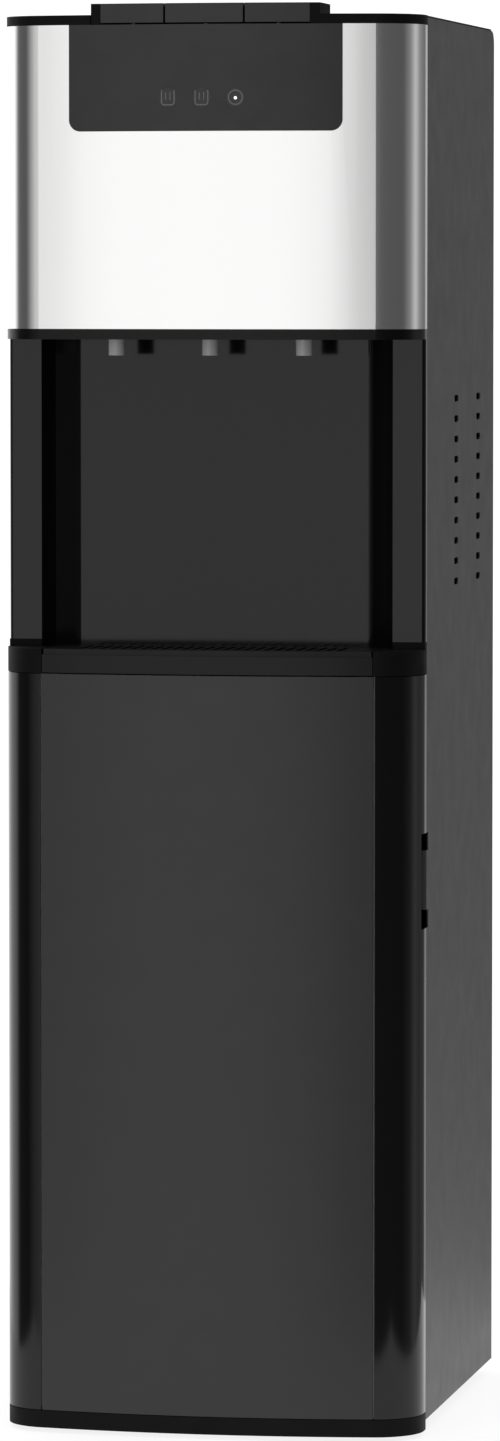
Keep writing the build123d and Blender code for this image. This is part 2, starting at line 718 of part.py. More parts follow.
def probe_clip():
    """Hook on the right side that the probe's stem hangs in."""
    z0 = probe_hang_z - 14
    z1 = z0 + 8
    hook = rod_z(probe_x, probe_y, z0, z1, 12) + block(probe_x, inner_x, probe_y - 8, probe_y + 8, z0, z1)
    hook += block(inner_x - 2, inner_x, probe_y - 16, probe_y + 16, z0 - 12, z1 + 12)
    slot = rod_z(probe_x, probe_y, z0 - 1, z1 + 1, hose_r + slide_gap)
    return [hook - slot - block(probe_x - 20, probe_x, probe_y - 4, probe_y + 4, z0 - 1, z1 + 1)]


pump_y0 = probe_y - 110.0
pump_z = deck_z1 + 27.0


def pump():
    """Diaphragm pump on the deck: foot, motor, head and two spigots."""
    foot = block(pump_x - 18, pump_x + 18, pump_y0, pump_y0 + 72, deck_z1, deck_z1 + 3)
    saddle = block(pump_x - 10, pump_x + 10, pump_y0 + 5, pump_y0 + 60, deck_z1 + 3, pump_z - 12)
    motor = rod_y(pump_x, pump_z, pump_y0 - 4, pump_y0 + 55, 20)
    head = block(pump_x - 21, pump_x + 21, pump_y0 + 55, pump_y0 + 76, deck_z1 + 5, pump_z + 20)
    inlet = rod_y(probe_x, pump_z - 6, pump_y0 + 76, pump_y0 + 86, 4)
    outlet = rod_y(riser[0], pump_z + 9, pump_y0 + 76, pump_y0 + 86, 4)
    return [foot + saddle + motor + head + inlet + outlet]


def water_hoses():
    """Silicone hoses: pump inlet, riser to the cold tank, three taps, and the hot tank's drain."""
    start = pump_y0 + 86
    top = cold_z1 + 24
    valve_top = alcove_z1 + wall_t + 56
    cold_port = cold_y - foam_r
    elbow_y = nozzle_y + 24
    elbow_z = alcove_z1 + wall_t + 24
    inlet = tube([(probe_x, probe_y, deck_z1), (probe_x, probe_y, pump_z - 6), (probe_x, start, pump_z - 6)],
                 hose_r, 10)
    feed = tube([(riser[0], start, pump_z + 9), (riser[0], riser[1], pump_z + 9), (riser[0], riser[1], top),
                 (cold_x + 40, riser[1], top), (cold_x + 40, cold_y, top),
                 (cold_x + 40, cold_y, cold_z1 + 3)],
                hose_r, [10, 12, 12, 10])
    cold = tube([(cold_x, cold_port, shelf_z1 + 30), (cold_x, cold_port - 14, shelf_z1 + 30),
                 (-nozzle_pitch, elbow_y + 14, elbow_z), (-nozzle_pitch, elbow_y, elbow_z)],
                hose_r, [9, 9])
    room = tube([(cold_x + 28, cold_y - 45, cold_z1 + 3), (cold_x + 28, cold_y - 45, top - 4),
                 (0, nozzle_y + 50, top - 4), (0, nozzle_y, top - 4), (0, nozzle_y, valve_top)],
                hose_r, [10, 12, 10])
    hot_top = hot_z1 + 20
    hot = tube([(hot_x, hot_y, hot_z1), (hot_x, hot_y, hot_top), (nozzle_pitch, nozzle_y + 50, hot_top),
                (nozzle_pitch, nozzle_y, hot_top), (nozzle_pitch, nozzle_y, valve_top)],
               hose_r, [10, 12, 10])
    drain = tube([(hot_x, hot_y, hot_z0), (hot_x, hot_y, drain_z), (hot_x, back_y - 10, drain_z)], hose_r, 12)
    return [inlet, feed, cold, room, hot, drain]


def cold_tank():
    """Stainless tank with a wide lid that also closes the foam."""
    z0 = cold_z1 - cold_h
    tank = rod_z(cold_x, cold_y, z0, cold_z1, cold_r)
    tank += rod_z(cold_x, cold_y, cold_z1, cold_z1 + 3, foam_r - 3)
    tank -= rod_z(cold_x, cold_y, z0 + 1.5, cold_z1 + 1, cold_r - 1.5)
    return [tank - rod_z(cold_x - 30, cold_y, cold_z1, cold_z1 + 4, 4)]


def tank_insulation():
    """Foam jacket, open at the top under the tank's lid."""
    foam = rod_z(cold_x, cold_y, shelf_z1, cold_z1, foam_r)
    return [foam - rod_z(cold_x, cold_y, cold_z1 - cold_h, cold_z1 + 1, cold_r + 9)]


def evaporator_coil():
    """Copper turns round the cold tank, each a closed ring."""
    turns = 8
    z0 = cold_z1 - cold_h + 15
    return [Pos(cold_x, cold_y, z0 + 12 * i) * Torus(cold_r + coil_r + 0.5, coil_r) for i in range(turns)]


def hot_tank():
    """Small stainless tank on three legs."""
    tank = fillet(rod_z(hot_x, hot_y, hot_z0, hot_z1, hot_r).edges(), 10)
    for angle in (90, 210, 330):
        x = hot_x + (hot_r - 16) * cos(radians(angle))
        y = hot_y + (hot_r - 16) * sin(radians(angle))
        tank += rod_z(x, y, shelf_z1, hot_z0 + 2, 4)
    return [tank]


def heater_band():
    z = hot_z0 + hot_h * 0.4
    return [rod_z(hot_x, hot_y, z, z + 32, hot_r + 2.5) - rod_z(hot_x, hot_y, z - 1, z + 33, hot_r + 0.1)]


def thermostats():
    """Two snap discs on the hot tank's top."""
    return [rod_z(hot_x + dx, hot_y - 22, hot_z1, hot_z1 + 9, 8) for dx in (-12, 12)]


# ---------------------------------------------------------------- refrigeration
drier = (hot_x - 30.0, back_y - 25.0, deck_z1 + 60.0)
switch_xs = (-half_w + 38.0, -half_w + 70.0)
switch_z = shelf_z1 + 66.0
gland_x = -half_w + 38.0
drain_z = deck_z1 + 87.0


def compressor():
    """Welded compressor shell on its mounting plate with rubber grommets."""
    can = fillet(rod_z(comp_x, comp_y, comp_z0, comp_z1, comp_r).edges(), 26)
    plate = block(comp_x - 62, comp_x + 62, comp_y - 60, comp_y + 60, comp_z0 - 4, comp_z0 + 1)
    box_y = comp_y - comp_r - 18
    relay_box = block(comp_x - 18, comp_x + 18, box_y, box_y + 30, comp_z0 + 50, comp_z0 + 92)
    body = can + plate + relay_box
    for sx in (-1, 1):
        for sy in (-1, 1):
            body += rod_z(comp_x + sx * 54, comp_y + sy * 52, deck_z1, comp_z0 - 4, 9)
    body += rod_z(comp_x + 25, comp_y + 35, comp_z1 - 30, comp_z1, 4)
    return [body + rod_z(comp_x - 35, comp_y + 25, comp_z1 - 30, comp_z1, 4)]


cond_y = back_y + 14.0
cond_x = half_w - 42.0
cond_z0 = 70.0
cond_pitch = 40.0
cond_runs = 13
cond_z1 = cond_z0 + (cond_runs - 1) * cond_pitch


def condenser():
    """Black serpentine tube behind the rear panel, with a row of upright wires and two brackets."""
    edges = []
    r = cond_pitch / 2
    x = cond_x - r
    for i in range(cond_runs):
        z = cond_z1 - i * cond_pitch
        sx = -1 if i % 2 == 0 else 1
        start = (sx * x, cond_y, z)
        end = (-sx * x, cond_y, z)
        edges.append(Line(start, end))
        if i < cond_runs - 1:
            next_start = (-sx * x, cond_y, z - cond_pitch)
            edges.append(ThreePointArc(end, (-sx * cond_x, cond_y, z - r), next_start))
    path = Wire([edge.edge() for edge in edges])
    serpentine = sweep(Plane(path @ 0, z_dir=path % 0) * Circle(2.4), path=path)
    wires = [rod_z(wx, cond_y + 3.4, cond_z0 - 12, cond_z1 + 12, 0.8) for wx in range(-88, 89, 16)]
    brackets = []
    for bx in (2 - x, x - 14):
        brackets.append(block(bx, bx + 12, back_y + sheet_t, cond_y - 2.6,
                              cond_z0 + cond_pitch, cond_z1 - cond_pitch))
    return [serpentine, *wires, *brackets]


def filter_drier():
    x, y, z0 = drier
    return [fillet(rod_z(x, y, z0, z0 + 90, 9).edges(), 5)]


def foam_face(x):
    """Y of the rear of the foam at one X, where a pipe ends against it."""
    return cold_y + sqrt(foam_r ** 2 - (x - cold_x) ** 2)


def refrigerant_pipes():
    """Copper pipes: discharge to the condenser, liquid line to the drier, capillary, and suction."""
    dx, dy = comp_x - 35, comp_y + 25
    start_x = -(cond_x - cond_pitch / 2)
    discharge = tube([(dx, dy, comp_z1), (dx, dy, comp_z1 + 19), (dx, cond_y, comp_z1 + 19),
                      (dx, cond_y, cond_z1 + 22), (start_x - 20, cond_y, cond_z1 + 22),
                      (start_x - 20, cond_y, cond_z1), (start_x, cond_y, cond_z1)], 2.4, [8, 8, 8, 8, 8])
    x, y, z0 = drier
    side = cond_x + 16
    end_x = cond_x - cond_pitch / 2
    liquid = tube([(end_x, cond_y, cond_z0), (side, cond_y, cond_z0), (side, cond_y, z0 - 12),
                   (x, cond_y, z0 - 12), (x, y, z0 - 12), (x, y, z0)], 2.4, [8, 8, 8, 8])
    cx, cy = capillary
    thin_r = 1.5
    thin = tube([(x, y, z0 + 90), (x, y, z0 + 128), (cx, cy, z0 + 128), (cx, cy, shelf_z1 + 50),
                 (cx, foam_face(cx - thin_r), shelf_z1 + 50)], thin_r, [8, 8, 8])
    sx, sy = suction
    suction_r = 3.0
    ux, uy = comp_x + 25, comp_y + 35
    return_line = tube([(ux, uy, comp_z1), (ux, uy, comp_z1 + 22), (sx, sy, comp_z1 + 22),
                        (sx, sy, shelf_z1 + 60), (sx, foam_face(sx - suction_r), shelf_z1 + 60)],
                       suction_r, [8, 8, 8])
    return [discharge, liquid, thin, return_line]


# ---------------------------------------------------------------- rear fittings
rocker_off = 8.0          # tilt of a rocker at rest, degrees
rocker_y = back_y - 1.0   # axle
axle_r = 1.5
axle_reach = 9.0          # from the switch's middle


def switch_bodies():
    """Two rocker switch bodies in the rear panel."""
    bodies = []
    for x in switch_xs:
        body = block(x - 10, x + 10, back_y - 18, back_y + 1, switch_z - 14, switch_z + 14)
        body += block(x - 12.5, x + 12.5, back_y + 1, back_y + 3, switch_z - 16.5, switch_z + 16.5)
        body -= block(x - 7.5, x + 7.5, back_y - 10, back_y + 4, switch_z - 11.5, switch_z + 11.5)
        bore = rod_x(rocker_y, switch_z, x - axle_reach - 0.1, x + axle_reach + 0.1, axle_r + run_gap)
        bodies.append(body - bore)
    return bodies


def rocker(x):
    """Rocker of one switch, tilted to off, on an axle with an end in each wall of the switch."""
    wedge = rod_x(rocker_y - 5, switch_z, x - 7.2, x + 7.2, 14)
    wedge &= block(x - 8, x + 8, rocker_y - 2, rocker_y + 20, switch_z - 10.2, switch_z + 10.2)
    wedge -= rod_x(rocker_y + 22, switch_z, x - 8, x + 8, 17)
    wedge += rod_x(rocker_y, switch_z, x - axle_reach, x + axle_reach, axle_r)
    return [Pos(x, rocker_y, switch_z) * Rot(rocker_off, 0, 0) * Pos(-x, -rocker_y, -switch_z) * wedge]


spigot_r = 7.5


def drain_fitting():
    """Drain spigot of the hot tank, through the rear panel."""
    spigot = rod_y(hot_x, drain_z, back_y - 10, back_y + 20, spigot_r)
    spigot += rod_y(hot_x, drain_z, back_y + 1, back_y + 4, 13)
    return [spigot - rod_y(hot_x, drain_z, back_y - 11, back_y + 21, 4.5)]


def drain_cap():
    """Screw cap over the spigot, with grip ribs."""
    y0, y1 = back_y + 6, back_y + 24
    cap = rod_y(hot_x, drain_z, y0, y1, 11)
    for i in range(12):
        cap += Pos(hot_x, 0, drain_z) * Rot(0, 30 * i, 0) * block(-1, 1, y0, y1 - 1.5, 10.5, 11.8)
    return [cap - rod_y(hot_x, drain_z, y0 - 1, back_y + 21, spigot_r + seat_gap)]


def cord_gland():
    """Bush in the rear panel for a power cord."""
    bush = rod_y(gland_x, drain_z, back_y - 6, back_y + 1, 7.9)
    bush += rod_y(gland_x, drain_z, back_y + 1, back_y + 5, 12)
    bush += rod_y(gland_x, drain_z, back_y + 5, back_y + 14, 6.5)
    return [bush - rod_y(gland_x, drain_z, back_y - 8, back_y + 16, 3.6)]


def screws():
    """Pan-head screws along the rear edges."""
    heads = []
    for x, z in rear_screw_places():
        head = fillet(rod_y(x, z, panel_rear_y, panel_rear_y + 2, 3.6).edges().sort_by(Axis.Y)[-1], 1.0)
        heads.append(head - block(x - 2.4, x + 2.4, panel_rear_y + 1, panel_rear_y + 3, z - 0.4, z + 0.4)
                     - block(x - 0.4, x + 0.4, panel_rear_y + 1, panel_rear_y + 3, z - 2.4, z + 2.4))
    return heads


# ---------------------------------------------------------------- write the nodes
nodes = {
    "base_plinth": base_plinth(),
    "feet": feet(),
    "left_side_panel": side_panel(-1),
    "right_side_panel": side_panel(1),
    "rear_panel": rear_panel(),
    "mid_deck": mid_deck(),
    "tank_shelf": tank_shelf(),
    "top_cover": top_cover(),
    "upper_front_panel": upper_front_panel(),
    "control_bezel": control_bezel(),
    "indicator_lenses": indicator_lenses(),
    "control_board": control_board(),
    "head_trim": head_trim(),
    "dispensing_nozzles": dispensing_nozzles(),
    "solenoid_valves": solenoid_valves(),
    "button_housing": button_housing(),
    "button_switches": button_switches(),
    "child_lock_slider": child_lock_slider(),
    "alcove_liner": alcove_liner(),
    "waist_frame": waist_frame(),
    "drip_tray": drip_tray(),
    "drip_grille": drip_grille(),
    "door_panel": door_panel(),
    "door_corner_trims": door_corner_trims(),
    "door_liner": door_liner(),
    "door_grip": door_grip(),
    "door_magnets": door_magnets(),
    "hinge_pins": hinge_pins(),
    "bottle_probe": bottle_probe(),
    "probe_hose": probe_hose(),
    "probe_clip": probe_clip(),
    "pump": pump(),
    "water_hoses": water_hoses(),
    "cold_tank": cold_tank(),
    "tank_insulation": tank_insulation(),
    "evaporator_coil": evaporator_coil(),
    "hot_tank": hot_tank(),
    "heater_band": heater_band(),
    "thermostats": thermostats(),
    "compressor": compressor(),
    "condenser": condenser(),
    "filter_drier": filter_drier(),
    "refrigerant_pipes": refrigerant_pipes(),
    "switch_bodies": switch_bodies(),
    "cold_rocker": rocker(switch_xs[0]),
    "hot_rocker": rocker(switch_xs[1]),
    "drain_fitting": drain_fitting(),
    "drain_cap": drain_cap(),
    "cord_gland": cord_gland(),
    "screws": screws(),
}
for name in button_spans:
    nodes[f"{name}_button"] = button(name)
    nodes[f"{name}_button_spring"] = button_spring(name)
    nodes[f"{name}_switch_plunger"] = switch_plunger(name)

os.makedirs("parts", exist_ok=True)
for node, pieces in nodes.items():
    solids = [solid for piece in pieces for solid in piece.solids()]
    export_step(solids[0] if len(solids) == 1 else Compound(children=solids), f"parts/{node}.step")
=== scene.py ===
import json
from math import cos, pi, radians, sin

import bmesh
import bpy
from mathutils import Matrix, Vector


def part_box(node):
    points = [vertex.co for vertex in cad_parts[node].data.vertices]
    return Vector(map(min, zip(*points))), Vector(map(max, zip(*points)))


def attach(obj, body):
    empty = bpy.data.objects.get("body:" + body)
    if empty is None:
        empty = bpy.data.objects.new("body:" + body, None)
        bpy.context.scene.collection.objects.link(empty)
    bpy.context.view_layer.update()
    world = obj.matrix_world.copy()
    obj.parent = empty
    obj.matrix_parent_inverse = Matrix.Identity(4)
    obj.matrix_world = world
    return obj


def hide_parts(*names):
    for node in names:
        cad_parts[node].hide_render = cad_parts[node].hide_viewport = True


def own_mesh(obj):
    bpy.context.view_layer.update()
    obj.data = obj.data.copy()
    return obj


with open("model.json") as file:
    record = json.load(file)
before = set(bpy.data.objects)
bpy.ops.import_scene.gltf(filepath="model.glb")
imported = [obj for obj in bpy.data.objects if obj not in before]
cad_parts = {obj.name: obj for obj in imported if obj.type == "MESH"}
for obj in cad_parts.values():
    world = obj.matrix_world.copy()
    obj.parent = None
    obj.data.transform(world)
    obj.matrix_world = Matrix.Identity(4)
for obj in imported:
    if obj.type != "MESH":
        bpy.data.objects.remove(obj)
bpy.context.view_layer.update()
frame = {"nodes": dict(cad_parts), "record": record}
nodes = frame["nodes"]
record = frame["record"]
scene = bpy.context.scene

MM = 0.001


# ---------------------------------------------------------------- material helpers
def new_material(name, base, metallic=0.0, roughness=0.5, specular=0.5):
    """A Principled material and its node tree, with the plain values set on the shader's own sockets."""
    material = bpy.data.materials.new(name)
    material.use_nodes = True
    tree = material.node_tree
    shader = tree.nodes["Principled BSDF"]
    shader.inputs["Base Color"].default_value = (*base, 1)
    shader.inputs["Metallic"].default_value = metallic
    shader.inputs["Roughness"].default_value = roughness
    shader.inputs["Specular IOR Level"].default_value = specular
    return material, tree, shader


def object_noise(tree, scale, detail=3.0, stretch=(1, 1, 1)):
    """Noise in the object's own coordinates, so that it stays on the surface as the piece moves."""
    place = tree.nodes.new("ShaderNodeTexCoord")
    mapping = tree.nodes.new("ShaderNodeMapping")
    mapping.inputs["Scale"].default_value = stretch
    noise = tree.nodes.new("ShaderNodeTexNoise")
    noise.inputs["Scale"].default_value = scale
    noise.inputs["Detail"].default_value = detail
    tree.links.new(place.outputs["Object"], mapping.inputs["Vector"])
    tree.links.new(mapping.outputs["Vector"], noise.inputs["Vector"])
    return noise.outputs["Fac"]


def spread(tree, value, low, high, start=0.3, end=0.7):
    """Maps a noise value to a range."""
    node = tree.nodes.new("ShaderNodeMapRange")
    node.inputs["From Min"].default_value = start
    node.inputs["From Max"].default_value = end
    node.inputs["To Min"].default_value = low
    node.inputs["To Max"].default_value = high
    tree.links.new(value, node.inputs["Value"])
    return node.outputs["Result"]


def tint(tree, value, dark, light):
    node = tree.nodes.new("ShaderNodeMix")
    node.data_type = "RGBA"
    node.inputs["A"].default_value = (*dark, 1)
    node.inputs["B"].default_value = (*light, 1)
    tree.links.new(value, node.inputs["Factor"])
    return node.outputs["Result"]


def add_bump(tree, shader, height, strength, distance):
    bump = tree.nodes.new("ShaderNodeBump")
    bump.inputs["Strength"].default_value = strength
    bump.inputs["Distance"].default_value = distance
    tree.links.new(height, bump.inputs["Height"])
    tree.links.new(bump.outputs["Normal"], shader.inputs["Normal"])


def moulded(name, base, roughness, grain=1400, bump=0.10, specular=0.5, mottle=0.12):
    """Moulded plastic: fine grain, with a faint cloudiness in its colour and its shine."""
    material, tree, shader = new_material(name, base, 0, roughness, specular)
    cloud = object_noise(tree, 14, 2)
    low = [c * (1 - mottle) for c in base]
    high = [c * (1 + mottle) for c in base]
    tree.links.new(tint(tree, cloud, low, high), shader.inputs["Base Color"])
    shine = spread(tree, object_noise(tree, 60, 4), roughness * 0.9, min(1.0, roughness * 1.1))
    tree.links.new(shine, shader.inputs["Roughness"])
    add_bump(tree, shader, object_noise(tree, grain, 2), bump, 0.0001)
    return material


def painted(name, base, roughness, specular=0.5, peel=420, bump=0.16):
    """Coated sheet: orange peel under a satin finish."""
    material, tree, shader = new_material(name, base, 0, roughness, specular)
    low = [c * 0.94 for c in base]
    high = [c * 1.06 for c in base]
    tree.links.new(tint(tree, object_noise(tree, 9, 2), low, high), shader.inputs["Base Color"])
    shine = spread(tree, object_noise(tree, 40, 3), roughness * 0.93, min(1.0, roughness * 1.07))
    tree.links.new(shine, shader.inputs["Roughness"])
    add_bump(tree, shader, object_noise(tree, peel, 3), bump, 0.00012)
    return material


def brushed(name, base, roughness, stretch=(900, 900, 2), bump=0.02):
    """Brushed steel: fine lines along the axis with the smallest stretch."""
    material, tree, shader = new_material(name, base, 1, roughness)
    lines = object_noise(tree, 3.0, 4, stretch)
    low = [c * 0.97 for c in base]
    high = [min(1.0, c * 1.03) for c in base]
    tree.links.new(tint(tree, lines, low, high), shader.inputs["Base Color"])
    tree.links.new(spread(tree, lines, roughness * 0.85, roughness * 1.15), shader.inputs["Roughness"])
    add_bump(tree, shader, lines, bump, 0.00005)
    return material


def metal(name, base, roughness, cloud=30):
    material, tree, shader = new_material(name, base, 1, roughness)
    noise = object_noise(tree, cloud, 3)
    low = [c * 0.85 for c in base]
    tree.links.new(tint(tree, noise, low, base), shader.inputs["Base Color"])
    tree.links.new(spread(tree, noise, roughness * 0.8, roughness * 1.25), shader.inputs["Roughness"])
    return material


def foam(name, base):
    material, tree, shader = new_material(name, base, 0, 0.9, 0.2)
    beads = tree.nodes.new("ShaderNodeTexVoronoi")
    beads.inputs["Scale"].default_value = 260
    place = tree.nodes.new("ShaderNodeTexCoord")
    tree.links.new(place.outputs["Object"], beads.inputs["Vector"])
    low = [c * 0.86 for c in base]
    tree.links.new(tint(tree, beads.outputs["Distance"], base, low), shader.inputs["Base Color"])
    add_bump(tree, shader, beads.outputs["Distance"], 0.4, 0.0006)
    return material


def hose(name, base):
    material, tree, shader = new_material(name, base, 0, 0.35, 0.5)
    low = [c * 0.9 for c in base]
    tree.links.new(tint(tree, object_noise(tree, 90, 3), low, base), shader.inputs["Base Color"])
    shader.inputs["Subsurface Weight"].default_value = 0.25
    shader.inputs["Subsurface Radius"].default_value = (0.004, 0.004, 0.004)
    return material


def lamp(name, colour, strength):
    material, _, shader = new_material(name, colour, 0, 0.4)
    shader.inputs["Emission Color"].default_value = (*colour, 1)
    shader.inputs["Emission Strength"].default_value = strength
    return material


def make_materials():
    """One material for each of the record's slots."""
    return {
        "body_black": moulded("deep_black_plastic", (0.0035, 0.0035, 0.0037), 0.62, specular=0.12),
        "gloss_black": moulded(
            "gloss_black_plastic", (0.0035, 0.0035, 0.0037), 0.10, grain=500, bump=0.008, specular=0.36
        ),
        # panel_paint: the side panels' black satin paint, the same paint as the door's, given a grey
        # base colour as painted sheen that stands in for the grazing sheen on the side
        "panel_paint": painted("panel_paint", (0.100, 0.100, 0.102), 0.50, specular=0.30),
        "door_sheet": painted("door_sheet_paint", (0.0105, 0.0105, 0.011), 0.30, peel=650, bump=0.05),
        "stainless": brushed("stainless_front", (0.90, 0.90, 0.895), 0.17),
        "bezel_black": moulded("bezel_black_plastic", (0.008, 0.008, 0.0083), 0.34),
        "lens": moulded("lens_smoke", (0.010, 0.010, 0.011), 0.20, bump=0.02),
        "circuit_green": moulded("solder_mask", (0.02, 0.14, 0.06), 0.4),
        "inner_grey": moulded("inner_grey_plastic", (0.30, 0.30, 0.31), 0.5),
        "galvanised": metal("galvanised_sheet", (0.55, 0.56, 0.57), 0.42, 60),
        "nozzle_grey": moulded("nozzle_grey_plastic", (0.46, 0.46, 0.47), 0.30),
        "tank_steel": brushed("tank_steel", (0.62, 0.62, 0.61), 0.30, (1, 1, 400)),
        "foam_white": foam("expanded_foam", (0.80, 0.80, 0.78)),
        "copper": metal("copper_tube", (0.80, 0.38, 0.22), 0.28),
        "compressor_black": painted("compressor_enamel", (0.012, 0.012, 0.013), 0.30),
        "rubber_black": moulded("black_rubber", (0.012, 0.012, 0.012), 0.75, specular=0.3),
        "silicone": hose("silicone_hose", (0.72, 0.73, 0.73)),
        "screw_steel": metal("zinc_screw", (0.62, 0.62, 0.60), 0.30, 200),
        "spring_steel": metal("spring_wire", (0.55, 0.55, 0.55), 0.25, 200),
        "rocker_green": moulded("rocker_green", (0.02, 0.22, 0.07), 0.25),
        "rocker_red": moulded("rocker_red", (0.42, 0.02, 0.02), 0.25),
        "valve_white": moulded("valve_nylon", (0.68, 0.68, 0.65), 0.45),
        "condenser_black": painted("condenser_enamel", (0.010, 0.010, 0.011), 0.35),
    }


# ---------------------------------------------------------------- CAD nodes
# how far the edges that show are rounded, in millimetres
EDGE_RADII = {
    "door_panel": 0.5, "door_corner_trims": 0.6, "door_liner": 0.4, "waist_frame": 0.7,
    "drip_tray": 0.7, "top_cover": 0.8, "base_plinth": 0.6, "button_housing": 0.6,
    "cold_button": 0.8, "room_button": 0.8, "hot_button": 0.8, "control_bezel": 0.6,
    "head_trim": 0.4, "dispensing_nozzles": 0.5, "left_side_panel": 0.3, "right_side_panel": 0.3,
    "upper_front_panel": 0.3, "rear_panel": 0.3, "cold_rocker": 0.4, "hot_rocker": 0.4,
    "switch_bodies": 0.3, "drain_cap": 0.5,
}


def dress_nodes(materials):
    """Gives every CAD node the material of its slot, and rounds the edges of the ones that show."""
    slot_of = {part["node"]: part["material_slot"] for part in record["subparts"]}
    own = {
        "drip_tray": moulded(
            "drip_tray_gloss", (0.0040, 0.0040, 0.0042), 0.20, grain=500, bump=0.01, specular=0.22
        ),
        "head_trim": moulded(
            "head_trim_gloss", (0.0035, 0.0035, 0.0037), 0.25, grain=500, bump=0.01, specular=0.20
        ),
        "drip_grille": moulded("grille_plastic", (0.0060, 0.0060, 0.0062), 0.42, specular=0.25),
    }
    for name, obj in nodes.items():
        obj.data.materials.clear()
        obj.data.materials.append(own.get(name) or materials[slot_of[name]])
        if name in EDGE_RADII:
            edge = obj.modifiers.new("edge", "BEVEL")
            edge.width = EDGE_RADII[name] * MM
            edge.segments = 2
            edge.limit_method = "ANGLE"
            edge.angle_limit = radians(50)
            edge.harden_normals = True


# ---------------------------------------------------------------- pieces of the controls
def finish_piece(obj, body, material):
    obj.data.materials.append(material)
    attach(obj, body)
    return obj


def mesh_object(name, vertices, faces):
    mesh = bpy.data.meshes.new(name)
    mesh.from_pydata(vertices, [], faces)
    mesh.update()
    obj = bpy.data.objects.new(name, mesh)
    scene.collection.objects.link(obj)
    return obj


def ribbon(name, points, width, surface, depth, closed=False):
    """A flat printed line that follows points in X and Z, laid on the bowed surface."""
    points = [Vector(p) for p in points]
    count = len(points)
    outline = []
    for i, point in enumerate(points):
        before = points[i - 1] if closed or i else point
        after = points[(i + 1) % count] if closed or i < count - 1 else point
        along = (after - before).normalized()
        outline.append((point, Vector((-along.y, along.x)) * width / 2))
    vertices = []
    for point, side in outline:
        for edge in (point + side, point - side):
            front = surface(edge.x)
            vertices.append((edge.x, front - depth, edge.y))
            vertices.append((edge.x, front + depth, edge.y))
    faces = []
    for i in range(count if closed else count - 1):
        a, b = 4 * i, 4 * ((i + 1) % count)
        faces += [(a, b, b + 2, a + 2), (a + 1, a + 3, b + 3, b + 1)]
        faces += [(a, a + 1, b + 1, b), (a + 2, b + 2, b + 3, a + 3)]
    if not closed:
        last = 4 * (count - 1)
        faces += [(0, 2, 3, 1), (last, last + 1, last + 3, last + 2)]
    return mesh_object(name, vertices, faces)


def arc_points(x, z, radius, start, end, count):
    step = (end - start) / (count - 1)
    turns = [radians(start + i * step) for i in range(count)]
    return [(x + radius * cos(turn), z + radius * sin(turn)) for turn in turns]


def indicator_icons():
    """Generic printed marks on the bezel: two cups and a lit ring."""
    low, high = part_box("indicator_lenses")
    centre_z = (low.z + high.z) / 2
    lens_r = (high.z - low.z) / 2
    pitch = (high.x - low.x - 2 * lens_r) / 2
    xs = [low.x + lens_r + i * pitch for i in range(3)]
    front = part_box("control_bezel")[0].y
    bow_r = 0.755

    def surface(x):
        return front + x * x / (2 * bow_r)

    print_grey = moulded("icon_print", (0.16, 0.16, 0.165), 0.45)
    icons = []
    for label, x in zip(("cold", "hot"), xs):
        w, h, r = 4.6 * MM, 5.2 * MM, 1.8 * MM
        cup = [(x - w, centre_z + h), (x - w, centre_z - h + r)]
        cup += arc_points(x - w + r, centre_z - h + r, r, 180, 270, 5)
        cup += arc_points(x + w - r, centre_z - h + r, r, 270, 360, 5)
        cup += [(x + w, centre_z + h)]
        icons.append(ribbon(f"icon_{label}_cup", cup, 0.9 * MM, surface, 0.08 * MM))
        for dx in (-1.6, 1.6):
            mark = [(x + dx * MM, centre_z + 3.6 * MM), (x + dx * MM, centre_z - 1.6 * MM)]
            side = "left" if dx < 0 else "right"
            icons.append(ribbon(f"icon_{label}_mark_{side}", mark, 0.7 * MM, surface, 0.08 * MM))
    ring = arc_points(xs[2], centre_z, 5.0 * MM, 0, 350, 36)
    icons.append(ribbon("icon_ring", ring, 0.8 * MM, surface, 0.08 * MM, closed=True))
    for icon in icons:
        finish_piece(icon, "cabinet", print_grey)
    dot = arc_points(xs[2], centre_z - 0.4 * MM, 0.55 * MM, 0, 345, 24)
    dot_piece = ribbon("icon_lamp", dot, 1.1 * MM, surface, 0.12 * MM, closed=True)
    finish_piece(dot_piece, "cabinet", lamp("lamp_white", (1, 1, 1), 1.2))


# ---------------------------------------------------------------- springs, coil and hose
def tube(name, points, radius, sides=10):
    """A round wire or pipe along points, closed at both ends."""
    points = [Vector(p) for p in points]
    mesh = bmesh.new()
    rings = []
    across = None
    for i, point in enumerate(points):
        along = (points[min(i + 1, len(points) - 1)] - points[max(i - 1, 0)]).normalized()
        if across is None:
            across = along.orthogonal().normalized()
        across = (across - along * across.dot(along)).normalized()
        up = along.cross(across)
        ring = []
        for side in range(sides):
            turn = 2 * pi * side / sides
            ring.append(mesh.verts.new(point + (across * cos(turn) + up * sin(turn)) * radius))
        rings.append(ring)
    for first, second in zip(rings, rings[1:]):
        for side in range(sides):
            after = (side + 1) % sides
            face = mesh.faces.new((first[side], first[after], second[after], second[side]))
            face.smooth = True
    mesh.faces.new(rings[0][::-1])
    mesh.faces.new(rings[-1])
    data = bpy.data.meshes.new(name)
    mesh.to_mesh(data)
    mesh.free()
    obj = bpy.data.objects.new(name, data)
    scene.collection.objects.link(obj)
    return obj


def helix(x, y, low, high, radius, turns, steps=28):
    """Points of a helix round Z whose end turns lie flat."""
    count = int(turns * steps)
    points = []
    for i in range(count + 1):
        share = i / count
        rise = min(1.0, max(0.0, (share * turns - 1) / (turns - 2)))
        angle = 2 * pi * share * turns
        points.append((x + radius * cos(angle), y + radius * sin(angle), low + (high - low) * rise))
    return points


